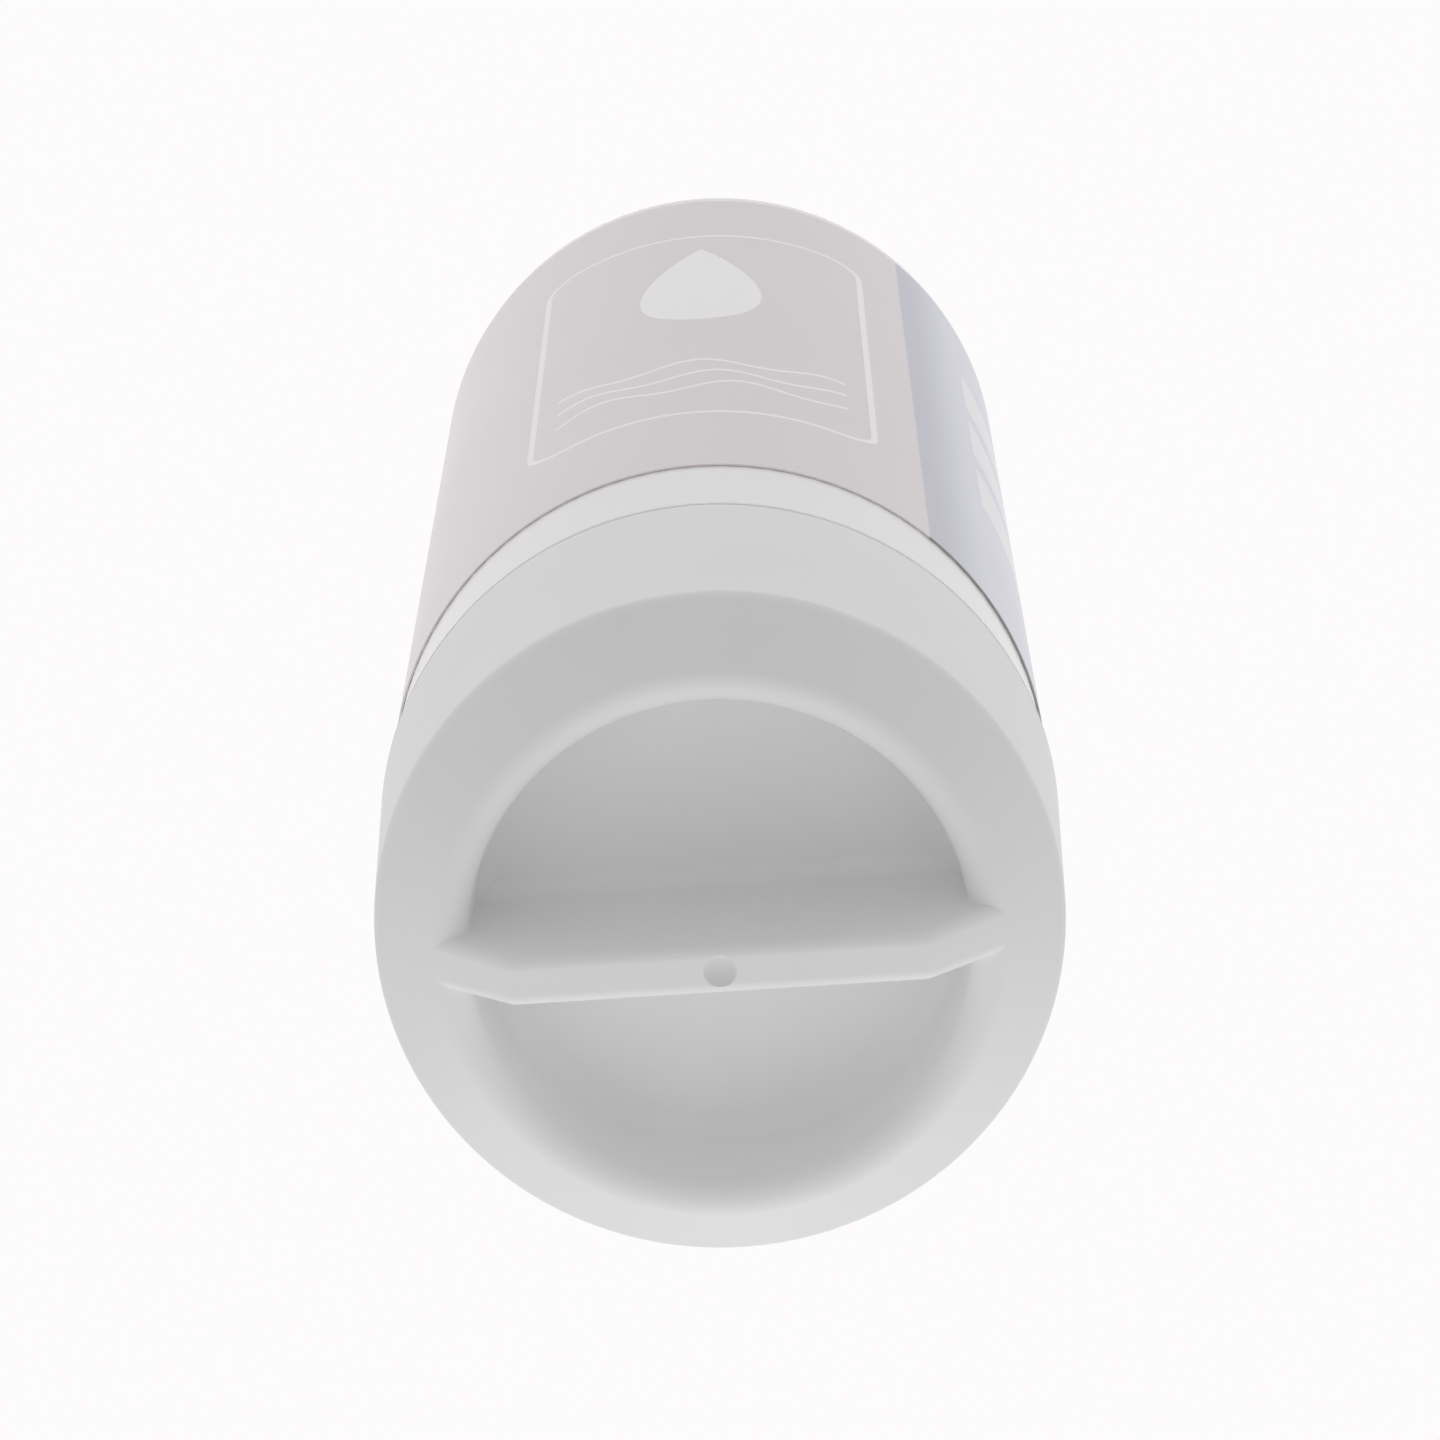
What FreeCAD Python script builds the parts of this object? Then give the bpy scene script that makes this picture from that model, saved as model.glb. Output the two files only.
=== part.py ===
import FreeCAD, Part
import math
import os

# Fridge water filter cartridge: a welded canister that twists into a filter head by its neck,
# with a carbon block inside and a grip rib between two finger pockets on its end cap.
# Millimetres, +Z up along the axis, origin where the neck rises from the shoulder.

# Canister
body_radius = 32.8
body_wall = 3.4
body_length = 180.0
shoulder_rise = 5.0
shoulder_round = 5.0
neck_root_round = 1.5

# Label film round the canister
label_thickness = 0.2
label_low_height = 46.2
label_top_margin = 0.9

# End cap
cap_skirt_height = 29.7
cap_rim_step = 0.6
cap_draft_deg = 1.8
cap_wall = 2.8
seam_chamfer = 0.2
seam_lip_height = 0.5
seam_groove_height = 0.5
seam_groove_depth = 0.25
bevel_deg = 45.0
bevel_round = 1.8

# Grip rib and finger pockets
grip_height = 13.0
rib_width = 4.6
rib_draft_deg = 1.0
rib_edge_round = 1.1
rib_foot_round = 2.0
rib_bend_round = 2.0
rib_set_back = 0.02
rib_toe_length = 0.5
rib_toe_height = 2.2
pocket_ring_width = 9.2
pocket_draft_deg = 3.0
pocket_depth = 18.3
pocket_floor_round = 2.0
pocket_lip_round = 2.0
gate_dimple_radius = 1.55
gate_dimple_depth = 1.5

# Welded joint between canister and cap
weld_depth = 8.0
tongue_wall = 1.8
weld_clearance = 0.05
weld_tip_gap = 0.3

# Neck
barrel_radius = 18.5
barrel_wall = 3.5
barrel_height = 9.0
inlet_land_radius = 15.5
inlet_land_height = 7.0
outlet_land_radius = 8.5
outlet_land_height = 6.0
pilot_radius = 7.5
pilot_height = 3.0
pilot_chamfer = 0.5
neck_chamfer = 0.4
outlet_bore_radius = 4.0
seal_groove_wall = 2.0
neck_plate = 3.0
inlet_port_radius = 1.3
inlet_port_count = 4

# Bayonet lugs
lug_count = 2
lug_span_deg = 62.0
lug_reach = 3.0
lug_thickness = 3.5
lug_drop = 1.5
lug_lead_length = 8.0
lug_lead_rise = 1.4

# Seal rings of the neck
seal_section = 2.62
seal_proud = 0.6
seal_groove_width = 3.4

# Outlet socket inside the neck, and the spigot that enters it
socket_radius = 6.0
socket_wall = 2.2
socket_depth = 13.0
socket_top = 3.0
spigot_clearance = 0.1
spigot_end_gap = 1.0
spigot_bore_radius = 3.2
plate_seal_section = 1.46
plate_seal_groove_width = 2.0

# Filter block, its wrap and its end plates
flow_gap = 2.2
block_bore_radius = 8.0
wrap_thickness = 0.9
plate_thickness = 2.4
plate_rim_height = 5.0
plate_rim_wall = 1.4
plate_plug_height = 4.0
plate_plug_wall = 2.0
plate_gap = 1.0
glue_clearance = 0.1
sleeve_clearance = 0.02

# Ribs inside the cap that carry the block
support_rib_count = 4
support_rib_thickness = 2.0
support_rib_height = 8.0
support_rib_inner_radius = 5.0
support_rib_inset = 3.5

# Heights inside the cap, above its bevel corner
cap_face = -grip_height
pocket_floor = cap_face + pocket_depth
cap_floor = pocket_floor + cap_wall
support_height = cap_floor + support_rib_height
weld_floor = cap_skirt_height - weld_depth

# Heights above the origin
shoulder_z = -shoulder_rise
corner_z = shoulder_z - body_length
rim_z = corner_z + cap_skirt_height
tongue_tip_z = corner_z + weld_floor + weld_tip_gap
label_low_z = corner_z + label_low_height
label_high_z = shoulder_z - shoulder_round - label_top_margin
inlet_land_z = barrel_height + inlet_land_height
outlet_land_z = inlet_land_z + outlet_land_height
tip_z = outlet_land_z + pilot_height
inlet_seal_z = barrel_height + inlet_land_height / 2
outlet_seal_z = inlet_land_z + outlet_land_height / 2
socket_low_z = socket_top - socket_depth
spigot_top_z = socket_top - spigot_end_gap
plate_seal_z = (socket_low_z + spigot_top_z) / 2
plate_high_z = socket_low_z - plate_gap
block_high_z = plate_high_z - plate_thickness
support_z = corner_z + support_height
block_low_z = support_z + plate_thickness

# Radii
body_bore_radius = body_radius - body_wall
tongue_radius = body_bore_radius + tongue_wall
rim_radius = body_radius + cap_rim_step
corner_radius = rim_radius - cap_skirt_height * math.tan(math.radians(cap_draft_deg))
pocket_radius = corner_radius - pocket_ring_width
seal_groove_depth = seal_section - seal_proud
inlet_hollow_radius = inlet_land_radius - seal_groove_depth - seal_groove_wall
inlet_port_circle = (outlet_land_radius + inlet_hollow_radius) / 2
spigot_radius = socket_radius - spigot_clearance
plate_seal_groove_radius = socket_radius - plate_seal_section - 2 * sleeve_clearance
plate_radius = body_bore_radius - flow_gap
plate_rim_bore = plate_radius - plate_rim_wall
wrap_radius = plate_rim_bore - glue_clearance
wrap_bore_radius = wrap_radius - wrap_thickness
block_radius = wrap_bore_radius - sleeve_clearance
plug_radius = block_bore_radius - glue_clearance

axis_point = FreeCAD.Vector(0, 0, 0)
axis = FreeCAD.Vector(0, 0, 1)
full_turn = math.degrees(2 * math.pi)
quarter_turn = math.degrees(math.pi / 2)
round_limit = 0.45  # most of a corner's shorter side that its rounding may use


def tan_deg(angle):
    """Tangent of an angle in degrees."""
    return math.tan(math.radians(angle))


def rounded_corner(before, corner, after, radius):
    """Start, middle and end of the arc that rounds a corner, limited by its two sides."""
    to_before = before - corner
    to_after = after - corner
    half_angle = to_before.getAngle(to_after) / 2
    side = min(to_before.Length, to_after.Length)
    reach = min(radius / math.tan(half_angle), round_limit * side)
    radius = reach * math.tan(half_angle)
    to_before.normalize()
    to_after.normalize()
    bisector = (to_before + to_after).normalize()
    middle = corner + bisector * (radius / math.sin(half_angle) - radius)
    return corner + to_before * reach, middle, corner + to_after * reach


def section(corners):
    """Face in the XZ half plane from (radius, height) corners; a third value rounds that corner."""
    points = [FreeCAD.Vector(corner[0], 0, corner[1]) for corner in corners]
    count = len(points)
    stretches = []
    for index, corner in enumerate(corners):
        point = points[index]
        if len(corner) == 3:
            stretches.append(rounded_corner(points[index - 1], point, points[(index + 1) % count], corner[2]))
        else:
            stretches.append((point,))
    edges = []
    for index, stretch in enumerate(stretches):
        if len(stretch) == 3:
            edges.append(Part.Arc(*stretch).toShape())
        following = stretches[(index + 1) % count][0]
        edges.append(Part.LineSegment(stretch[-1], following).toShape())
    return Part.Face(Part.Wire(edges))


def turned(corners, angle=full_turn):
    """Solid of revolution of a section about the axis."""
    return section(corners).revolve(axis_point, axis, angle)


def tube(inner, outer, low, high):
    """Plain hollow cylinder."""
    return turned([(inner, low), (outer, low), (outer, high), (inner, high)])


def spaced_round(shape, count):
    """Copies of a shape, evenly spaced about the axis."""
    copies = []
    for index in range(count):
        copy = shape.copy()
        copy.rotate(axis_point, axis, full_turn * index / count)
        copies.append(copy)
    return copies


def bayonet_lug():
    """Lug on the neck's barrel, its underside ramped where it enters the head."""
    high = barrel_height - lug_drop
    low = high - lug_thickness
    root = barrel_radius - barrel_wall / 2
    reach = barrel_radius + lug_reach
    lug = turned([(root, low), (reach, low), (reach, high), (root, high)], lug_span_deg)
    lug.rotate(axis_point, axis, -lug_span_deg)
    ramp_edge = FreeCAD.Vector(0, -lug_lead_length, low)
    ramp_corner = FreeCAD.Vector(0, -lug_lead_length, low - lug_thickness)
    ramp = Part.makeBox(2 * reach, 2 * reach, lug_thickness, ramp_corner)
    ramp.rotate(ramp_edge, FreeCAD.Vector(1, 0, 0), math.degrees(math.atan2(lug_lead_rise, lug_lead_length)))
    return lug.cut(ramp)


def seal_groove(land_radius, height):
    """Corners of a seal ring's groove in a land of the neck, from below to above."""
    low = height - seal_groove_width / 2
    high = height + seal_groove_width / 2
    floor = land_radius - seal_groove_depth
    return [(land_radius, low), (floor, low), (floor, high), (land_radius, high)]


def chamfered(radius, height, size):
    """Corners of an outer edge, below a flat end, with a small chamfer."""
    return [(radius, height - size), (radius - size, height)]


def housing():
    """Canister, shoulder and neck, moulded in one piece."""
    slope = math.atan2(shoulder_rise, body_radius - barrel_radius)
    shoulder_drop = body_wall / math.cos(slope)
    barrel_bore = barrel_radius - barrel_wall
    inner_edge_z = shoulder_z + body_wall * math.tan(slope) - shoulder_drop
    inner_root_z = barrel_wall * math.tan(slope) - shoulder_drop
    socket_outer = socket_radius + socket_wall
    outside = [
        (tongue_radius, tongue_tip_z),
        (tongue_radius, rim_z),
        (body_radius - seam_chamfer, rim_z),
        (body_radius, rim_z + seam_chamfer),
        (body_radius, shoulder_z, shoulder_round),
        (barrel_radius, 0, neck_root_round),
        *chamfered(barrel_radius, barrel_height, neck_chamfer),
        (inlet_land_radius, barrel_height),
        *seal_groove(inlet_land_radius, inlet_seal_z),
        *chamfered(inlet_land_radius, inlet_land_z, neck_chamfer),
        (outlet_land_radius, inlet_land_z),
        *seal_groove(outlet_land_radius, outlet_seal_z),
        (outlet_land_radius, outlet_land_z),
        (pilot_radius, outlet_land_z),
        *chamfered(pilot_radius, tip_z, pilot_chamfer),
    ]
    inside = [
        (outlet_bore_radius, tip_z),
        (outlet_bore_radius, socket_top),
        (socket_radius, socket_top),
        (socket_radius, socket_low_z),
        (socket_outer, socket_low_z),
        (socket_outer, inlet_land_z - neck_plate),
        (inlet_hollow_radius, inlet_land_z - neck_plate),
        (inlet_hollow_radius, barrel_height - neck_plate),
        (barrel_bore, barrel_height - neck_plate),
        (barrel_bore, inner_root_z),
        (body_bore_radius, inner_edge_z),
        (body_bore_radius, tongue_tip_z),
    ]
    shell = turned(outside + inside)
    shell = shell.fuse(spaced_round(bayonet_lug(), lug_count)).removeSplitter()
    port_base = FreeCAD.Vector(inlet_port_circle, 0, inlet_land_z - 2 * neck_plate)
    port = Part.makeCylinder(inlet_port_radius, 3 * neck_plate, port_base)
    return shell.cut(spaced_round(port, inlet_port_count))


def bevel_height(radius):
    """Height of the cap's bevel at a radius, above the bevel corner."""
    return -(corner_radius - radius) * tan_deg(bevel_deg)


def skirt_radius(height):
    """Radius of the cap's drafted skirt at a height above the bevel corner."""
    return corner_radius + height * tan_deg(cap_draft_deg)


def pocket_lip_radius():
    """Radius where the pockets' drafted wall would meet the bevel."""
    steepness = tan_deg(bevel_deg) * tan_deg(pocket_draft_deg)
    return (pocket_radius + corner_radius * steepness) / (1 + steepness)


def pocket_core_radius():
    """Radius of the cored ring's inner wall, behind the pockets' wall."""
    return pocket_lip_radius() + cap_wall


def grip_rib():
    """Rib across the pockets, round at its foot, with sloped ends that run out under the bevel in short toes."""
    wall_radius = pocket_core_radius() - rib_set_back
    end_radius = wall_radius + rib_toe_length
    end_height = bevel_height(end_radius) + rib_set_back
    face_radius = corner_radius - (grip_height + rib_set_back) / tan_deg(bevel_deg)
    root = (pocket_floor + cap_floor) / 2
    blank = turned([
        (0, cap_face),
        (face_radius, cap_face, rib_bend_round),
        (end_radius, end_height),
        (end_radius, end_height + rib_toe_height),
        (wall_radius, end_height + rib_toe_height),
        (wall_radius, root),
        (0, root),
    ])
    half_face = rib_width / 2
    foot_height = pocket_floor + rib_set_back
    half_foot = half_face + (foot_height - cap_face) * tan_deg(rib_draft_deg)
    half_root = half_foot + 2 * rib_foot_round
    half_outline = [
        (half_face, cap_face),
        (half_foot, foot_height, rib_foot_round),
        (half_root, foot_height),
        (half_root, root),
    ]
    other_half = [(-across, *rest) for across, *rest in reversed(half_outline)]
    outline = section(half_outline + other_half)
    outline.rotate(axis_point, axis, quarter_turn)
    outline.translate(FreeCAD.Vector(-end_radius, 0, 0))
    rib = blank.common(outline.extrude(FreeCAD.Vector(2 * end_radius, 0, 0)))
    front_edges = []
    for edge in rib.Edges:
        middle = edge.valueAt((edge.FirstParameter + edge.LastParameter) / 2)
        if middle.z < end_height and abs(middle.y) > half_face / 2:
            front_edges.append(edge)
    return rib.makeFillet(rib_edge_round, front_edges)


def gate_dimple():
    """Shallow round dimple in the middle of the rib's face."""
    radius = (gate_dimple_radius ** 2 + gate_dimple_depth ** 2) / (2 * gate_dimple_depth)
    return Part.makeSphere(radius, FreeCAD.Vector(0, 0, cap_face + gate_dimple_depth - radius))


def support_rib():
    """Radial rib on the inside of the cap's floor, under the block's lower plate."""
    length = pocket_core_radius() - support_rib_inset - support_rib_inner_radius
    root = (pocket_floor + cap_floor) / 2
    corner = FreeCAD.Vector(support_rib_inner_radius, -support_rib_thickness / 2, root)
    return Part.makeBox(length, support_rib_thickness, support_height - root, corner)


def end_cap():
    """Bevelled cap with a cored ring round its two finger pockets, and the grip rib between them."""
    lip_radius = pocket_lip_radius()
    core_radius = pocket_core_radius()
    core_lift = cap_wall / math.cos(math.radians(bevel_deg))
    floor_radius = pocket_radius - pocket_floor * tan_deg(pocket_draft_deg)
    weld_radius = tongue_radius + weld_clearance
    groove_high = cap_skirt_height - seam_lip_height
    groove_low = groove_high - seam_groove_height
    groove_radius = rim_radius - seam_groove_depth
    cap = turned([
        (0, pocket_floor),
        (floor_radius, pocket_floor, pocket_floor_round),
        (lip_radius, bevel_height(lip_radius), pocket_lip_round),
        (corner_radius, 0, bevel_round),
        (skirt_radius(groove_low), groove_low),
        (groove_radius, groove_low),
        (groove_radius, groove_high),
        (skirt_radius(groove_high), groove_high),
        *chamfered(rim_radius, cap_skirt_height, seam_chamfer),
        (weld_radius, cap_skirt_height),
        (weld_radius, weld_floor),
        (body_bore_radius, weld_floor),
        (body_bore_radius, bevel_height(body_bore_radius) + core_lift),
        (core_radius, bevel_height(core_radius) + core_lift),
        (core_radius, cap_floor),
        (0, cap_floor),
    ])
    cap = cap.fuse([grip_rib()] + spaced_round(support_rib(), support_rib_count)).removeSplitter()
    cap = cap.cut(gate_dimple())
    cap.translate(FreeCAD.Vector(0, 0, corner_z))
    return cap


def label():
    """Printed film wrapped round the canister."""
    inner = body_radius + sleeve_clearance
    return tube(inner, inner + label_thickness, label_low_z, label_high_z)


def carbon_block():
    """Hollow block that the water passes through from outside to its bore."""
    return tube(block_bore_radius, block_radius, block_low_z, block_high_z)


def prefilter_wrap():
    """Fibre sleeve round the block that stops grit."""
    return tube(wrap_bore_radius, wrap_radius, block_low_z, block_high_z)


def outlet_end_plate():
    """Upper plate glued on the block, with the spigot that carries clean water to the neck."""
    groove_low = plate_seal_z - plate_seal_groove_width / 2
    groove_high = plate_seal_z + plate_seal_groove_width / 2
    return turned([
        (spigot_bore_radius, block_high_z - plate_plug_height),
        (plug_radius, block_high_z - plate_plug_height),
        (plug_radius, block_high_z),
        (plate_rim_bore, block_high_z),
        (plate_rim_bore, plate_high_z - plate_rim_height),
        (plate_radius, plate_high_z - plate_rim_height),
        *chamfered(plate_radius, plate_high_z, neck_chamfer),
        (spigot_radius, plate_high_z),
        (spigot_radius, groove_low),
        (plate_seal_groove_radius, groove_low),
        (plate_seal_groove_radius, groove_high),
        (spigot_radius, groove_high),
        *chamfered(spigot_radius, spigot_top_z, neck_chamfer),
        (spigot_bore_radius, spigot_top_z),
    ])


def blind_end_plate():
    """Lower plate glued on the block, closed in the middle, resting on the cap's ribs."""
    plug_top = block_low_z + plate_plug_height
    return turned([
        (0, support_z),
        (plate_radius, support_z),
        (plate_radius, support_z + plate_rim_height),
        (plate_rim_bore, support_z + plate_rim_height),
        (plate_rim_bore, block_low_z),
        (plug_radius, block_low_z),
        (plug_radius, plug_top),
        (plug_radius - plate_plug_wall, plug_top),
        (plug_radius - plate_plug_wall, block_low_z),
        (0, block_low_z),
    ])


def seal_ring(groove_radius, section_width, height):
    """Round-section rubber ring seated on a groove's floor."""
    centre_radius = groove_radius + sleeve_clearance + section_width / 2
    return Part.makeTorus(centre_radius, section_width / 2, FreeCAD.Vector(0, 0, height), axis)


pieces = {
    "housing": housing(),
    "end_cap": end_cap(),
    "label": label(),
    "carbon_block": carbon_block(),
    "prefilter_wrap": prefilter_wrap(),
    "outlet_end_plate": outlet_end_plate(),
    "blind_end_plate": blind_end_plate(),
    "plate_seal_ring": seal_ring(plate_seal_groove_radius, plate_seal_section, plate_seal_z),
    "inlet_seal_ring": seal_ring(inlet_land_radius - seal_groove_depth, seal_section, inlet_seal_z),
    "outlet_seal_ring": seal_ring(outlet_land_radius - seal_groove_depth, seal_section, outlet_seal_z),
}

os.makedirs("parts", exist_ok=True)
for name, shape in pieces.items():
    shape.exportStep(os.path.join("parts", name + ".step"))
    print(name, "solids", len(shape.Solids), "valid", shape.isValid(), "mm3", round(shape.Volume))
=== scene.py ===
"""Fridge water filter cartridge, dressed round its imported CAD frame."""

import math

import bmesh
import bpy
from mathutils import Matrix, Vector


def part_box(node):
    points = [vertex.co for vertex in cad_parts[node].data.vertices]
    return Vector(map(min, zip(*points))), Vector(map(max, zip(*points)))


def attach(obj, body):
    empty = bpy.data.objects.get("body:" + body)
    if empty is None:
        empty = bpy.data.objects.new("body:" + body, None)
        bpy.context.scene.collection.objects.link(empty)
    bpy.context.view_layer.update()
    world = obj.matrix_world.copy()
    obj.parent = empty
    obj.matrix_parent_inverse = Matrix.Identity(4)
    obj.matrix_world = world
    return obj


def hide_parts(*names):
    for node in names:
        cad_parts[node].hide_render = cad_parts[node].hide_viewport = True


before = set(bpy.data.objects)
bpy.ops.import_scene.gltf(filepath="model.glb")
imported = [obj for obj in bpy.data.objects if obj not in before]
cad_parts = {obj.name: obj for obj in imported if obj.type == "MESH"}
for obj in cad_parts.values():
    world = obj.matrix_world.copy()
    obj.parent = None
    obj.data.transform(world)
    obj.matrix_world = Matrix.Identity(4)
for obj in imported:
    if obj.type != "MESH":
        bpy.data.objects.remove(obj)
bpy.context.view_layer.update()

bl_info = {
    "name": "Water filter cartridge",
    "version": (1, 0, 0),
    "blender": (4, 5, 0),
    "location": "View3D > Sidebar > Cartridge",
    "description": "Label, finishes and stage of a twist-in fridge water filter cartridge",
    "category": "Object",
}

MM = 0.001
LABEL_LOW, LABEL_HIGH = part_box("label")
LABEL_RADIUS = LABEL_HIGH.x
CAP_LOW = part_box("end_cap")[0]
PRINT_SOFT = 0.1 * MM  # half the width of a printed line's soft edge

# The way to each soft panel, seen from the cartridge, and the panel's strength.
SOFT_PANELS = (
    ((0, 0, 1), 0.8),
    ((0, -1, 1), 0.56),
    ((0, 1, 0), 0.4),
    ((0, 1, -1), 0.541),
    ((0, 0, -1), 0.076),
    ((1, 0, 0), 0.33),
    ((-1, 0, 0), 0.345),
)


class CartridgeSizes(bpy.types.PropertyGroup):
    """Sizes of what is printed and wrapped on the cartridge."""

    film_thickness: bpy.props.FloatProperty(
        name="Film thickness", description="Thickness of the label film",
        default=0.195 * MM, unit="LENGTH", precision=5)
    film_steps: bpy.props.IntProperty(
        name="Film steps", description="Faces round the label", default=180, min=24)
    lap_steps: bpy.props.IntProperty(
        name="Lap steps", description="Faces of the film's end, lapped over its start at the back",
        default=5, min=1)
    start_gap: bpy.props.FloatProperty(
        name="Start gap", description="Gap between the film's start and the rise of its lap",
        default=0.1 * MM, unit="LENGTH", precision=5)
    edge_line: bpy.props.FloatProperty(
        name="Edge line", description="Height of the line along the label's cut lower edge",
        default=0.04 * MM, unit="LENGTH", precision=5)
    line_width: bpy.props.FloatProperty(
        name="Line width", description="Width of the frame's and the waves' printed lines",
        default=0.8 * MM, unit="LENGTH", precision=5)

    field_start: bpy.props.FloatProperty(
        name="Field start", description="Angle from the front where the coloured field starts",
        default=math.radians(43.3), subtype="ANGLE")
    field_end: bpy.props.FloatProperty(
        name="Field end", description="Angle from the front where the coloured field ends",
        default=math.radians(140), subtype="ANGLE")
    fade_from: bpy.props.FloatProperty(
        name="Fade from", description="Angle past the field's start where it begins to turn pale",
        default=math.radians(2), subtype="ANGLE")
    fade_to: bpy.props.FloatProperty(
        name="Fade to", description="Angle past the field's start where it is pale",
        default=math.radians(17), subtype="ANGLE")
    panel_angle: bpy.props.FloatProperty(
        name="Panel place", description="Angle from the front of the blank panels on the field",
        default=math.radians(88), subtype="ANGLE")
    panel_width: bpy.props.FloatProperty(
        name="Panel width", description="Width of a blank panel, along the film",
        default=30 * MM, unit="LENGTH", precision=4)
    panel_height: bpy.props.FloatProperty(
        name="Panel height", description="Height of a blank panel",
        default=16 * MM, unit="LENGTH", precision=4)
    panel_low: bpy.props.FloatProperty(
        name="Panel low", description="Height of the lowest panel above the label's lower edge",
        default=44 * MM, unit="LENGTH", precision=4)
    panel_pitch: bpy.props.FloatProperty(
        name="Panel pitch", description="Height from one panel to the next",
        default=22 * MM, unit="LENGTH", precision=4)
    panel_count: bpy.props.IntProperty(
        name="Panels", description="Number of blank panels", default=3, min=1)

    frame_width: bpy.props.FloatProperty(
        name="Frame width", description="Width of the printed frame, along the film",
        default=38 * MM, unit="LENGTH", precision=4)
    frame_low: bpy.props.FloatProperty(
        name="Frame low",
        description="Height of the frame's lower side above the label's lower edge",
        default=22 * MM, unit="LENGTH", precision=4)
    frame_high: bpy.props.FloatProperty(
        name="Frame high",
        description="Height of the frame's upper side above the label's lower edge",
        default=108 * MM, unit="LENGTH", precision=4)
    frame_corner: bpy.props.FloatProperty(
        name="Frame corner", description="Radius of the frame's corners",
        default=5 * MM, unit="LENGTH", precision=4)
    frame_margin: bpy.props.FloatProperty(
        name="Frame margin", description="Distance that the waves keep from the frame",
        default=3 * MM, unit="LENGTH", precision=4)
    drop_width: bpy.props.FloatProperty(
        name="Drop width", description="Width of the printed drop in the frame",
        default=13.68 * MM, unit="LENGTH", precision=5)
    drop_height: bpy.props.FloatProperty(
        name="Drop height", description="Height of the printed drop in the frame",
        default=36 * MM, unit="LENGTH", precision=4)
    wave_length: bpy.props.FloatProperty(
        name="Wave length", description="Length of the printed waves",
        default=15 * MM, unit="LENGTH", precision=4)
    wave_height: bpy.props.FloatProperty(
        name="Wave height", description="Rise of the waves above their middle line",
        default=1.6 * MM, unit="LENGTH", precision=4)
    wave_low: bpy.props.FloatProperty(
        name="Wave low", description="Height of the lowest wave above the frame's lower side",
        default=12 * MM, unit="LENGTH", precision=4)
    wave_pitch: bpy.props.FloatProperty(
        name="Wave pitch", description="Height from one wave to the next",
        default=5 * MM, unit="LENGTH", precision=4)
    wave_shift: bpy.props.FloatProperty(
        name="Wave shift", description="Phase from one wave to the next",
        default=0.8, subtype="ANGLE")
    wave_count: bpy.props.IntProperty(
        name="Waves", description="Number of waves", default=3, min=1)

    table_angle: bpy.props.FloatProperty(
        name="Table place",
        description="Angle from the front of the blank table for dates of change",
        default=math.radians(-115), subtype="ANGLE")
    table_width: bpy.props.FloatProperty(
        name="Table width", description="Width of the blank table, along the film",
        default=34 * MM, unit="LENGTH", precision=4)
    table_low: bpy.props.FloatProperty(
        name="Table low",
        description="Height of the table's lower side above the label's lower edge",
        default=40 * MM, unit="LENGTH", precision=4)
    table_row: bpy.props.FloatProperty(
        name="Table row", description="Height of a row of the table",
        default=9 * MM, unit="LENGTH", precision=4)
    table_rows: bpy.props.IntProperty(
        name="Table rows", description="Number of rows of the table", default=6, min=2)
    table_line: bpy.props.FloatProperty(
        name="Table line", description="Width of the table's lines",
        default=0.6 * MM, unit="LENGTH", precision=5)
    table_corner: bpy.props.FloatProperty(
        name="Table corner", description="Radius of the table's corners",
        default=2 * MM, unit="LENGTH", precision=4)


class CartridgeColours(bpy.types.PropertyGroup):
    """Colours of the cartridge's pieces."""

    cap: bpy.props.FloatVectorProperty(
        name="Cap", description="Moulded plastic of the end cap",
        default=(0.92, 0.918, 0.916), subtype="COLOR", min=0, max=1)
    canister: bpy.props.FloatVectorProperty(
        name="Canister", description="Moulded plastic of the canister and neck",
        default=(0.897, 0.89, 0.891), subtype="COLOR", min=0, max=1)
    film: bpy.props.FloatVectorProperty(
        name="Film", description="Ground colour of the label",
        default=(0.752, 0.704, 0.722), subtype="COLOR", min=0, max=1)
    field: bpy.props.FloatVectorProperty(
        name="Field", description="Printed field on one side of the label, where it starts",
        default=(0.50, 0.507, 0.62), subtype="COLOR", min=0, max=1)
    field_pale: bpy.props.FloatVectorProperty(
        name="Pale field", description="Printed field away from its start",
        default=(0.69, 0.717, 0.805), subtype="COLOR", min=0, max=1)
    motif: bpy.props.FloatVectorProperty(
        name="Motif", description="Printed frame, drop, waves, panels and table",
        default=(0.96, 0.955, 0.955), subtype="COLOR", min=0, max=1)
    edge: bpy.props.FloatVectorProperty(
        name="Edge line", description="Line along the label's cut lower edge",
        default=(0.95, 0.905, 0.89), subtype="COLOR", min=0, max=1)
    field_edge: bpy.props.FloatVectorProperty(
        name="Field edge", description="Line along the cut lower edge of the field",
        default=(0.50, 0.505, 0.51), subtype="COLOR", min=0, max=1)
    rubber: bpy.props.FloatVectorProperty(
        name="Rubber", description="Seal rings",
        default=(0.022, 0.022, 0.024), subtype="COLOR", min=0, max=1)
    carbon: bpy.props.FloatVectorProperty(
        name="Carbon", description="Pressed carbon",
        default=(0.03, 0.03, 0.032), subtype="COLOR", min=0, max=1)
    fibre: bpy.props.FloatVectorProperty(
        name="Fibre", description="Wrap round the carbon",
        default=(0.84, 0.83, 0.79), subtype="COLOR", min=0, max=1)
    plate: bpy.props.FloatVectorProperty(
        name="Plates", description="End plates of the carbon block",
        default=(0.78, 0.78, 0.75), subtype="COLOR", min=0, max=1)


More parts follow.
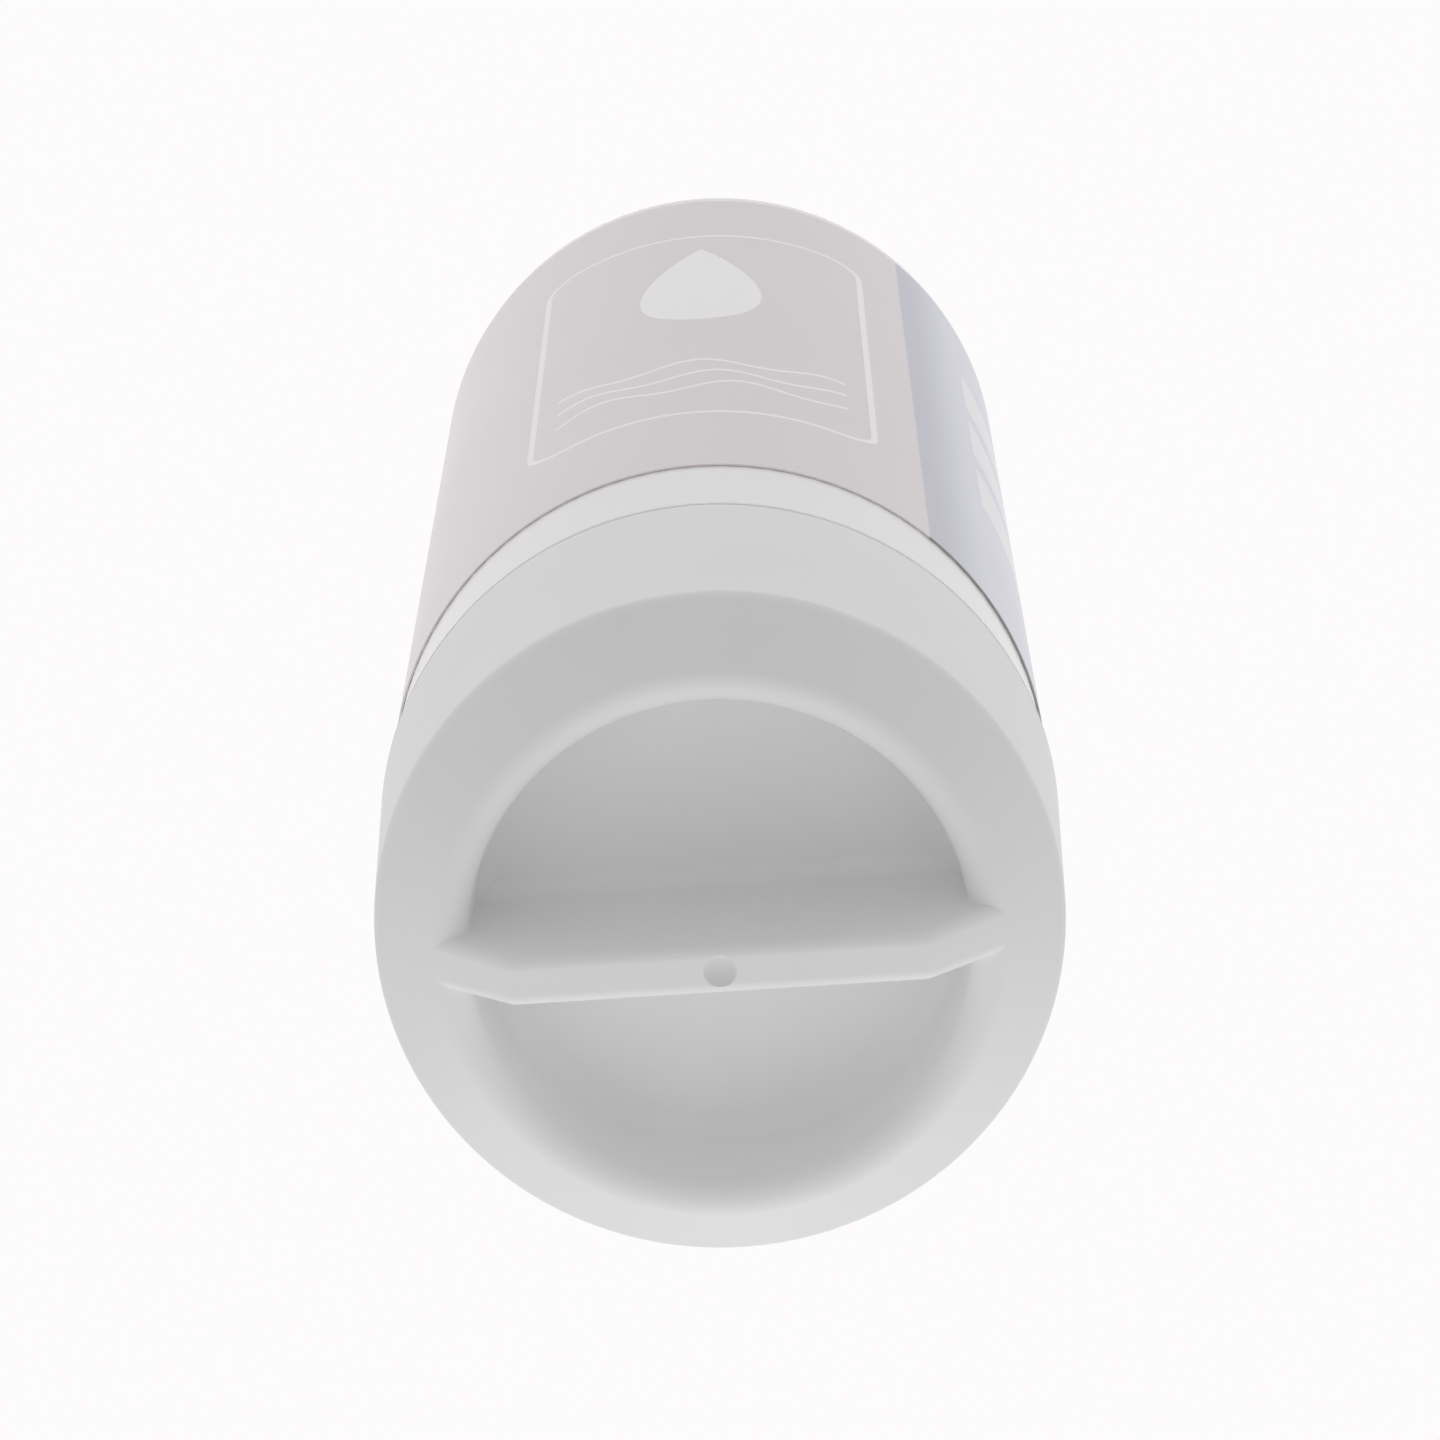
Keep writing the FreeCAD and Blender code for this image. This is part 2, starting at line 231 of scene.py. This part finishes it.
class CartridgeStage(bpy.types.PropertyGroup):
    """Camera, light and floor."""

    lens: bpy.props.FloatProperty(
        name="Lens", description="Focal length in millimetres", default=152.1, unit="CAMERA")
    sensor: bpy.props.FloatProperty(
        name="Sensor", description="Width of the camera's sensor in millimetres",
        default=36.0, unit="CAMERA")
    camera_place: bpy.props.FloatVectorProperty(
        name="Camera", description="Camera position before its turn about the axis",
        default=(0.0, -0.1818, -0.7263), subtype="TRANSLATION")
    camera_aim: bpy.props.FloatVectorProperty(
        name="Aim", description="Viewing direction before the turn about the axis",
        default=(0.0, 0.2861, 0.9582), subtype="DIRECTION")
    camera_turn: bpy.props.FloatProperty(
        name="Turn", description="Turn of the camera about the cartridge's axis",
        default=math.radians(3.8), subtype="ANGLE")
    camera_near: bpy.props.FloatProperty(
        name="Near", description="Nearest distance that the camera sees",
        default=0.01, unit="LENGTH")
    backdrop: bpy.props.FloatVectorProperty(
        name="Backdrop", description="White that the camera sees behind the cartridge",
        default=(0.982, 0.965, 0.973), subtype="COLOR", min=0, max=1)
    light: bpy.props.FloatProperty(
        name="Light", description="Level of the even light from all round", default=0.3745)
    light_colour: bpy.props.FloatVectorProperty(
        name="Light colour", description="Colour of the even light and the panels",
        default=(1.0, 0.99, 0.993), subtype="COLOR", min=0, max=1)
    panel_light: bpy.props.FloatProperty(
        name="Panels", description="Level of the soft panels", default=1.0)
    panel_spread: bpy.props.FloatProperty(
        name="Panel spread", description="How fast a panel fades away from its middle", default=3.0)
    floor_radius: bpy.props.FloatProperty(
        name="Floor", description="Radius of the pale floor", default=0.7, unit="LENGTH")
    floor_gap: bpy.props.FloatProperty(
        name="Floor gap", description="Height of the cartridge above the floor",
        default=0.2 * MM, unit="LENGTH", precision=5)
    floor_colour: bpy.props.FloatVectorProperty(
        name="Floor colour", description="Colour of the pale floor",
        default=(0.97, 0.96, 0.965), subtype="COLOR", min=0, max=1)


class Shade:
    """A socket that Python's operators turn into Math nodes."""

    def __init__(self, tree, socket):
        self.tree = tree
        self.socket = socket

    def maths(self, operation, *values):
        return self.tree.node("ShaderNodeMath", {"operation": operation}, dict(enumerate(values)))

    def __add__(self, other):
        return self.maths("ADD", self, other)

    __radd__ = __add__

    def __mul__(self, other):
        return self.maths("MULTIPLY", self, other)

    __rmul__ = __mul__

    def __sub__(self, other):
        return self.maths("SUBTRACT", self, other)

    def __rsub__(self, other):
        return self.maths("SUBTRACT", other, self)

    def __truediv__(self, other):
        return self.maths("DIVIDE", self, other)

    def __rtruediv__(self, other):
        return self.maths("DIVIDE", other, self)

    def __pow__(self, other):
        return self.maths("POWER", self, other)

    def __rpow__(self, other):
        return self.maths("POWER", other, self)

    def __abs__(self):
        return self.maths("ABSOLUTE", self)

    def __neg__(self):
        return self.maths("MULTIPLY", self, -1)

    def above(self, other):
        return self.maths("GREATER_THAN", self, other)

    def below(self, other):
        return self.maths("LESS_THAN", self, other)

    def largest(self, other):
        return self.maths("MAXIMUM", self, other)

    def smallest(self, other):
        return self.maths("MINIMUM", self, other)

    def sine(self):
        return self.maths("SINE", self)

    def bearing(self, other):
        """Angle whose tangent is this over the other."""
        return self.maths("ARCTAN2", self, other)

    def ramp(self, low, high):
        """Zero at low, one at high and smooth between."""
        return self.tree.node("ShaderNodeMapRange", {"interpolation_type": "SMOOTHSTEP"},
                              {"Value": self, "From Min": low, "From Max": high}, "Result")


class Tree:
    """A node tree that is written as expressions."""

    def __init__(self, owner):
        owner.use_nodes = True
        self.nodes = owner.node_tree.nodes
        self.links = owner.node_tree.links
        self.nodes.clear()

    def node(self, kind, settings, inputs, output=0):
        """Adds a node with its settings, values and links, and gives one of its outputs."""
        made = self.nodes.new(kind)
        for name, value in settings.items():
            setattr(made, name, value)
        for name, value in inputs.items():
            if isinstance(value, Shade):
                self.links.new(value.socket, made.inputs[name])
            else:
                made.inputs[name].default_value = value
        return Shade(self, made.outputs[output]) if len(made.outputs) else None

    def place(self):
        return self.node("ShaderNodeTexCoord", {}, {}, "Object")

    def apart(self, vector):
        first = self.node("ShaderNodeSeparateXYZ", {}, {"Vector": vector})
        return [Shade(self, socket) for socket in first.socket.node.outputs]

    def together(self, x, y, z):
        return self.node("ShaderNodeCombineXYZ", {}, {"X": x, "Y": y, "Z": z})

    def noise(self, vector, scale, detail):
        return self.node("ShaderNodeTexNoise", {},
                         {"Vector": vector, "Scale": scale, "Detail": detail}, "Fac")

    def mix(self, factor, first, second):
        """Colour between two colours."""
        factor_in, first_in, second_in, colour_out = 0, 6, 7, 2
        inputs = {factor_in: factor, first_in: opaque(first), second_in: opaque(second)}
        return self.node("ShaderNodeMix", {"data_type": "RGBA"}, inputs, colour_out)

    def bump(self, height, distance, strength=1.0):
        return self.node("ShaderNodeBump", {},
                         {"Height": height, "Distance": distance, "Strength": strength})

    def principled(self, **inputs):
        named = {name.replace("_", " "): value for name, value in inputs.items()}
        return self.node("ShaderNodeBsdfPrincipled", {}, named)

    def surface(self, shader):
        self.node("ShaderNodeOutputMaterial", {}, {"Surface": shader})


def opaque(colour):
    """A plain colour with its alpha, or a socket as it is."""
    return colour if isinstance(colour, Shade) else (*colour, 1.0)


def tinted(colour, share):
    """A colour made darker or lighter by a share."""
    return tuple(channel * share for channel in colour)


def swing(value, middle, reach):
    """A finish's middle level, moved by a pattern that runs from 0 to 1."""
    return middle + (value - 0.5) * reach


def moulded_plastic(name, colour, roughness, sheen, streaks):
    """White moulded polypropylene: faintly cloudy, finely grained, with flow streaks along Z."""
    cloud_scale, grain_scale, along_scale = 55.0, 2600.0, 14.0
    cloud_share = 0.6
    tone_low, tone_high = 0.3, 0.7
    darker, lighter = 0.982, 1.012
    roughness_reach = 0.12
    cloud_depth = 6.0  # in depths of the grain
    grain_depth, grain_strength = 0.004 * MM, 0.5

    material = bpy.data.materials.new(name)
    tree = Tree(material)
    place = tree.place()
    x, y, z = tree.apart(place)
    cloud = tree.noise(place, cloud_scale, detail=3.0)
    drawn_out = tree.together(x * streaks, y * streaks, z * along_scale)
    flow = tree.noise(drawn_out, scale=1.0, detail=2.0)
    grain = tree.noise(place, grain_scale, detail=1.0)
    tone = (cloud * cloud_share + flow * (1 - cloud_share)).ramp(tone_low, tone_high)
    shader = tree.principled(
        Base_Color=tree.mix(tone, tinted(colour, darker), tinted(colour, lighter)),
        Roughness=swing(cloud, roughness, roughness_reach),
        Normal=tree.bump(grain + cloud * cloud_depth, grain_depth, grain_strength),
        IOR=1.49,
        Specular_IOR_Level=sheen,
    )
    tree.surface(shader)
    return material


def stripe(value, middle, half, soft=PRINT_SOFT):
    """One within half of the middle, with soft edges."""
    return 1 - abs(value - middle).ramp(half - soft, half + soft)


def framed(across, up, half_width, half_height, corner):
    """Distance outside a rounded frame's line, negative inside it."""
    past = (abs(across) - (half_width - corner)).largest(0.0)
    over = (abs(up) - (half_height - corner)).largest(0.0)
    return (past * past + over * over) ** 0.5 - corner


def inside_drop(across, up, width, height):
    """One inside a drop that stands on up = 0 with its tip at up = height."""
    fullness = 2.6  # brings the outline's widest place to one
    share = (up / height).largest(0.0).smallest(1.0)
    half = (share ** 0.5) * (1 - share) * (fullness * width / 2)
    return (half - abs(across)).ramp(-PRINT_SOFT, PRINT_SOFT) * up.above(0.0) * up.below(height)


def blank_panels(around, up, sizes):
    """One on the upright row of blank panels on the field."""
    half = sizes.panel_height / 2
    side = abs(around - sizes.panel_angle * LABEL_RADIUS) - sizes.panel_width / 2
    panels = 0.0
    for index in range(sizes.panel_count):
        end = abs(up - (sizes.panel_low + index * sizes.panel_pitch + half)) - half
        panels = (1 - side.largest(end).ramp(-PRINT_SOFT, PRINT_SOFT)) + panels
    return panels


def framed_drop(around, up, sizes):
    """One on a rounded frame, the waves in its lower half and the drop in its upper half."""
    line = sizes.line_width / 2
    middle = (sizes.frame_low + sizes.frame_high) / 2
    half_width, half_height = sizes.frame_width / 2, (sizes.frame_high - sizes.frame_low) / 2
    outside = framed(around, up - middle, half_width, half_height, sizes.frame_corner)
    inside = 1 - outside.ramp(-sizes.frame_margin - PRINT_SOFT, -sizes.frame_margin + PRINT_SOFT)
    motif = stripe(outside, 0.0, line)
    for row in range(sizes.wave_count):
        phase = around * (2 * math.pi / sizes.wave_length) + row * sizes.wave_shift
        height = sizes.frame_low + sizes.wave_low + row * sizes.wave_pitch
        motif = stripe(up - phase.sine() * sizes.wave_height, height, line) * inside + motif
    return inside_drop(around, up - middle, sizes.drop_width, sizes.drop_height) + motif


def blank_table(around, up, sizes):
    """One on the lines of a ruled table with a narrow first column."""
    line = sizes.table_line / 2
    across = around - sizes.table_angle * LABEL_RADIUS
    over = up - sizes.table_low
    height = sizes.table_row * sizes.table_rows
    half = sizes.table_width / 2
    outside = framed(across, over - height / 2, half, height / 2, sizes.table_corner)
    rules = stripe(across, -half / 2, line)
    for row in range(1, sizes.table_rows):
        rules = stripe(over, row * sizes.table_row, line).largest(rules)
    return stripe(outside, 0.0, line).largest(rules * outside.below(0.0))


def label_film(name, sizes, colours):
    """Satin film: warm ground painted lighter on one side, cool field with blank panels, framed
    drop, table and cut edge.
    """
    # The rise and fall angles and the lighter share give painted light: the ground on the -X side
    # is painted 7 % lighter.
    rise_start, rise_end, fall_start, fall_end = map(math.radians, (-150, -90, -70, 20))
    lighter = 1.07
    panel_cover = 0.6
    cloud_scale, ripple_scale = 40.0, 120.0
    edge_fade = 0.2
    roughness, roughness_reach, edge_roughness = 0.36, 0.1, 0.9
    coat = 0.22
    ripple_depth, ripple_strength = 0.02 * MM, 0.6

    material = bpy.data.materials.new(name)
    tree = Tree(material)
    place = tree.place()
    x, y, z = tree.apart(place)
    angle = x.bearing(-y)
    around = angle * LABEL_RADIUS
    up = z - LABEL_LOW.z
    cloud = tree.noise(place, cloud_scale, detail=3.0)
    ripple = tree.noise(place, ripple_scale, detail=2.0)

    # Painted light: from the back on the -X side round to just past the front, the ground is
    # painted lighter, as if more light fell there.
    painted_light_side = angle.ramp(rise_start, rise_end) * (1 - angle.ramp(fall_start, fall_end))
    ground = tree.mix(painted_light_side, colours.film, tinted(colours.film, lighter))
    field = stripe(angle, (sizes.field_start + sizes.field_end) / 2,
                   (sizes.field_end - sizes.field_start) / 2, PRINT_SOFT / LABEL_RADIUS)
    fade = angle.ramp(sizes.field_start + sizes.fade_from, sizes.field_start + sizes.fade_to)
    base = tree.mix(field, ground, tree.mix(fade, colours.field, colours.field_pale))
    base = tree.mix(blank_panels(around, up, sizes) * panel_cover, base, colours.motif)
    motif = framed_drop(around, up, sizes) + blank_table(around, up, sizes)
    base = tree.mix(motif, base, colours.motif)

    low_edge = 1 - up.ramp(sizes.edge_line * (1 - edge_fade), sizes.edge_line * (1 + edge_fade))
    base = tree.mix(low_edge, base, tree.mix(field, colours.edge, colours.field_edge))
    shader = tree.principled(
        Base_Color=base,
        Roughness=swing(cloud, roughness, roughness_reach).largest(low_edge * edge_roughness),
        Normal=tree.bump(ripple, ripple_depth, ripple_strength),
        IOR=1.5,
        Specular_IOR_Level=0.36,
        Coat_Weight=(1 - low_edge) * coat,
        Coat_Roughness=0.08,
    )
    tree.surface(shader)
    return material


def greased_rubber(name, colour):
    """Black rubber with an uneven film of grease."""
    smear_scale, grain_scale = 350.0, 3000.0
    greased_share = 1.6
    roughness, roughness_reach = 0.42, 0.3
    grease_low, grease_high, grease = 0.4, 0.7, 0.5
    grain_depth = 0.006 * MM

    material = bpy.data.materials.new(name)
    tree = Tree(material)
    place = tree.place()
    smear = tree.noise(place, smear_scale, detail=3.0)
    shader = tree.principled(
        Base_Color=tree.mix(smear, colour, tinted(colour, greased_share)),
        Roughness=swing(smear, roughness, roughness_reach),
        Coat_Weight=smear.ramp(grease_low, grease_high) * grease,
        Coat_Roughness=0.2,
        Normal=tree.bump(tree.noise(place, grain_scale, detail=1.0), grain_depth),
    )
    tree.surface(shader)
    return material


def pressed_carbon(name, colour):
    """Dull black grains pressed into a block."""
    grain_scale, clump_scale = 1400.0, 260.0
    darker, lighter = 0.6, 1.7
    roughness, roughness_reach = 0.8, 0.2
    grain_depth = 0.12 * MM

    material = bpy.data.materials.new(name)
    tree = Tree(material)
    place = tree.place()
    grains = tree.node("ShaderNodeTexVoronoi", {},
                       {"Vector": place, "Scale": grain_scale}, "Distance")
    clumps = tree.noise(place, clump_scale, detail=4.0)
    shader = tree.principled(
        Base_Color=tree.mix(clumps, tinted(colour, darker), tinted(colour, lighter)),
        Roughness=swing(clumps, roughness, roughness_reach),
        Normal=tree.bump(grains + clumps, grain_depth),
    )
    tree.surface(shader)
    return material


def bonded_fibre(name, colour):
    """Off-white fibres laid in two directions and bonded flat."""
    across_fibre, along_fibre, slant = 3000.0, 260.0, 900.0
    second_layer = 7.0  # its place in the noise, away from the first layer
    fibre_low, fibre_high = 0.4, 0.75
    darker = 0.86
    roughness, roughness_reach = 0.85, 0.1
    fibre_depth = 0.08 * MM

    material = bpy.data.materials.new(name)
    tree = Tree(material)
    x, y, z = tree.apart(tree.place())
    around = x.bearing(y) * LABEL_RADIUS
    upright = tree.together(around * across_fibre + z * slant, z * along_fibre, 0.0)
    level = tree.together(around * along_fibre, z * across_fibre - around * slant, second_layer)
    first, second = (tree.noise(lay, scale=1.0, detail=3.0) for lay in (upright, level))
    fibres = first.largest(second)
    shader = tree.principled(
        Base_Color=tree.mix(fibres.ramp(fibre_low, fibre_high), tinted(colour, darker), colour),
        Roughness=swing(fibres, roughness, roughness_reach),
        Normal=tree.bump(fibres, fibre_depth),
    )
    tree.surface(shader)
    return material


def finish_node(name, material):
    """Gives one of the frame's solids its material."""
    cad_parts[name].material_slots[0].material = material


class CARTRIDGE_OT_canister(bpy.types.Operator):
    """Gives the canister and its neck their moulded finish"""

    bl_idname = "cartridge.canister"
    bl_label = "Canister"

    def execute(self, context):
        colour = context.scene.cartridge_colours.canister
        plastic = moulded_plastic("canister_white", colour, roughness=0.2, sheen=0.5, streaks=120.0)
        finish_node("housing", plastic)
        return {"FINISHED"}


class CARTRIDGE_OT_end_cap(bpy.types.Operator):
    """Gives the end cap its moulded finish"""

    bl_idname = "cartridge.end_cap"
    bl_label = "End cap"

    def execute(self, context):
        colour = context.scene.cartridge_colours.cap
        plastic = moulded_plastic("cap_white", colour, roughness=0.5, sheen=0.25, streaks=60.0)
        finish_node("end_cap", plastic)
        return {"FINISHED"}


class CARTRIDGE_OT_label(bpy.types.Operator):
    """Wraps the printed film round the canister, lapped at the back"""

    bl_idname = "cartridge.label"
    bl_label = "Label"

    def execute(self, context):
        colours = context.scene.cartridge_colours
        sizes = context.scene.cartridge_sizes
        film = self.wrap(sizes)
        film.data.materials.append(label_film("printed_film", sizes, colours))
        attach(film, "root")
        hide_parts("label")
        return {"FINISHED"}

    def wrap(self, sizes):
        """A sheet parted at the back, with its end carried over its start."""
        inner = LABEL_RADIUS - sizes.film_thickness
        lap_rise = 1.06 * sizes.film_thickness  # just clear of the start that it covers
        lift = 1 + lap_rise / inner
        smooth_up_to = math.radians(30)
        bpy.ops.object.select_all(action="DESELECT")
        bpy.ops.mesh.primitive_cylinder_add(
            vertices=sizes.film_steps, radius=inner, depth=LABEL_HIGH.z - LABEL_LOW.z,
            end_fill_type="NOTHING", location=(0, 0, (LABEL_LOW.z + LABEL_HIGH.z) / 2))
        film = bpy.context.object
        film.name = "label_film"
        bpy.ops.object.transform_apply(location=True)

        bpy.ops.object.mode_set(mode="EDIT")
        bpy.ops.mesh.select_mode(type="EDGE")
        self.select_back(film, 0)
        bpy.ops.mesh.edge_split(type="EDGE")
        self.select_back(film, -1)
        self.turn(sizes.start_gap / inner)
        self.select_back(film, 1)
        for index in range(sizes.lap_steps):
            bpy.ops.mesh.extrude_region_move()
            self.turn(2 * math.pi / sizes.film_steps)
            if index == 0:
                bpy.ops.transform.resize(value=(lift, lift, 1), center_override=(0, 0, 0))
        bpy.ops.mesh.select_all(action="SELECT")
        bpy.ops.mesh.normals_make_consistent(inside=False)
        bpy.ops.object.mode_set(mode="OBJECT")

        solid = film.modifiers.new("thickness", "SOLIDIFY")
        solid.thickness = sizes.film_thickness
        solid.offset = 1.0
        bpy.ops.object.modifier_apply(modifier=solid.name)
        bpy.ops.object.shade_smooth_by_angle(angle=smooth_up_to)
        return film

    def turn(self, angle):
        """Turns what is selected about the axis, from the back towards -X."""
        bpy.ops.transform.rotate(value=-angle, orient_axis="Z", center_override=(0, 0, 0))

    def select_back(self, film, side):
        """Selects the upright edge at the back: +X side for 1, -X side for -1, both for 0."""
        near = 0.01 * MM
        mesh = bmesh.from_edit_mesh(film.data)
        bpy.ops.mesh.select_all(action="DESELECT")
        for edge in mesh.edges:
            at_back = all(abs(vertex.co.x) < near and vertex.co.y > 0 for vertex in edge.verts)
            edge.select = at_back and edge.link_faces[0].calc_center_median().x * side >= 0
        bmesh.update_edit_mesh(film.data)


class CARTRIDGE_OT_seals(bpy.types.Operator):
    """Gives the seal rings their rubber"""

    bl_idname = "cartridge.seals"
    bl_label = "Seal rings"

    def execute(self, context):
        rubber = greased_rubber("seal_black", context.scene.cartridge_colours.rubber)
        for name in ("inlet_seal_ring", "outlet_seal_ring", "plate_seal_ring"):
            finish_node(name, rubber)
        return {"FINISHED"}


class CARTRIDGE_OT_filter_core(bpy.types.Operator):
    """Gives the block, its wrap and its end plates their finishes"""

    bl_idname = "cartridge.filter_core"
    bl_label = "Filter core"

    def execute(self, context):
        colours = context.scene.cartridge_colours
        finish_node("carbon_block", pressed_carbon("carbon_black", colours.carbon))
        finish_node("prefilter_wrap", bonded_fibre("wrap_fibre", colours.fibre))
        plates = moulded_plastic("plate_natural", colours.plate,
                                 roughness=0.4, sheen=0.5, streaks=60.0)
        finish_node("outlet_end_plate", plates)
        finish_node("blind_end_plate", plates)
        return {"FINISHED"}


class CARTRIDGE_OT_stage(bpy.types.Operator):
    """Sets the camera, the soft light and the pale floor"""

    bl_idname = "cartridge.stage"
    bl_label = "Stage"

    def execute(self, context):
        stage = context.scene.cartridge_stage
        self.camera(context, stage)
        self.room_light(context, stage)
        self.floor(stage)
        context.scene.view_settings.view_transform = "Standard"
        return {"FINISHED"}

    def camera(self, context, stage):
        turn = Matrix.Rotation(stage.camera_turn, 3, "Z")
        upright = Vector(stage.camera_aim).to_track_quat("-Z", "Y")
        bpy.ops.object.camera_add(location=turn @ Vector(stage.camera_place))
        camera = context.object
        camera.name = "photo_camera"
        camera.rotation_mode = "QUATERNION"
        camera.rotation_quaternion = turn.to_quaternion() @ upright
        camera.data.lens = stage.lens
        camera.data.sensor_width = stage.sensor
        camera.data.clip_start = stage.camera_near
        context.scene.camera = camera

    def room_light(self, context, stage):
        """Even light and soft panels for the cartridge, and plain white for what looks past it."""
        world = bpy.data.worlds.new("soft_room")
        context.scene.world = world
        tree = Tree(world)
        way = tree.node("ShaderNodeTexCoord", {}, {}, "Generated")
        level = stage.light
        for aim, strength in SOFT_PANELS:
            facing = tree.node("ShaderNodeVectorMath", {"operation": "DOT_PRODUCT"},
                               {0: way, 1: Vector(aim).normalized()}, "Value")
            reach = facing.largest(0.0) ** stage.panel_spread
            level = reach * (strength * stage.panel_light) + level
        rays = ("Is Camera Ray", "Is Glossy Ray", "Is Transmission Ray")
        camera, glossy, through = (tree.node("ShaderNodeLightPath", {}, {}, ray) for ray in rays)
        direct = camera.largest(glossy).largest(through)
        room = tree.node("ShaderNodeBackground", {},
                         {"Color": opaque(stage.light_colour), "Strength": level})
        seen = tree.node("ShaderNodeBackground", {},
                         {"Color": opaque(stage.backdrop), "Strength": 1.0})
        both = tree.node("ShaderNodeMixShader", {}, {0: direct, 1: room, 2: seen})
        tree.node("ShaderNodeOutputWorld", {}, {"Surface": both})

    def floor(self, stage):
        """A round floor that shows from above only, fades out at its rim and takes the shadow."""
        rim_steps = 96
        fade_from, fade_to = stage.floor_radius * 0.35, stage.floor_radius * 0.98
        bpy.ops.object.select_all(action="DESELECT")
        bpy.ops.mesh.primitive_circle_add(
            vertices=rim_steps, radius=stage.floor_radius, fill_type="NGON",
            location=(0, 0, CAP_LOW.z - stage.floor_gap))
        floor = bpy.context.object
        floor.name = "floor"
        bpy.ops.object.transform_apply(location=True)
        material = bpy.data.materials.new("pale_floor")
        tree = Tree(material)
        x, y, _ = tree.apart(tree.place())
        reach = (x * x + y * y) ** 0.5
        back = tree.node("ShaderNodeNewGeometry", {}, {}, "Backfacing")
        shown = (1 - reach.ramp(fade_from, fade_to)) * (1 - back)
        clear = tree.node("ShaderNodeBsdfTransparent", {}, {})
        pale = tree.node("ShaderNodeBsdfDiffuse", {}, {"Color": opaque(stage.floor_colour)})
        tree.surface(tree.node("ShaderNodeMixShader", {}, {0: shown, 1: clear, 2: pale}))
        floor.data.materials.append(material)
        floor.visible_diffuse = False
        floor.visible_glossy = False
        floor.visible_transmission = False
        floor.visible_shadow = False


OPERATORS = (
    CARTRIDGE_OT_canister,
    CARTRIDGE_OT_end_cap,
    CARTRIDGE_OT_label,
    CARTRIDGE_OT_seals,
    CARTRIDGE_OT_filter_core,
    CARTRIDGE_OT_stage,
)

GROUPS = {
    "cartridge_sizes": CartridgeSizes,
    "cartridge_colours": CartridgeColours,
    "cartridge_stage": CartridgeStage,
}


class CARTRIDGE_PT_panel(bpy.types.Panel):
    """Lists the cartridge's pieces, sizes and colours"""

    bl_idname = "CARTRIDGE_PT_panel"
    bl_label = "Water filter cartridge"
    bl_space_type = "VIEW_3D"
    bl_region_type = "UI"
    bl_category = "Cartridge"

    def draw(self, context):
        layout = self.layout
        for operator in OPERATORS:
            layout.operator(operator.bl_idname)
        for group, kind in GROUPS.items():
            owner = getattr(context.scene, group)
            column = layout.column()
            for name in kind.__annotations__:
                column.prop(owner, name)


CLASSES = (*GROUPS.values(), *OPERATORS, CARTRIDGE_PT_panel)


def register():
    for cls in CLASSES:
        bpy.utils.register_class(cls)
    for name, group in GROUPS.items():
        setattr(bpy.types.Scene, name, bpy.props.PointerProperty(type=group))


def unregister():
    for name in GROUPS:
        delattr(bpy.types.Scene, name)
    for cls in reversed(CLASSES):
        bpy.utils.unregister_class(cls)


def main():
    register()
    bpy.ops.cartridge.canister()
    bpy.ops.cartridge.end_cap()
    bpy.ops.cartridge.label()
    bpy.ops.cartridge.seals()
    bpy.ops.cartridge.filter_core()
    bpy.ops.cartridge.stage()


if __name__ == "__main__":
    main()
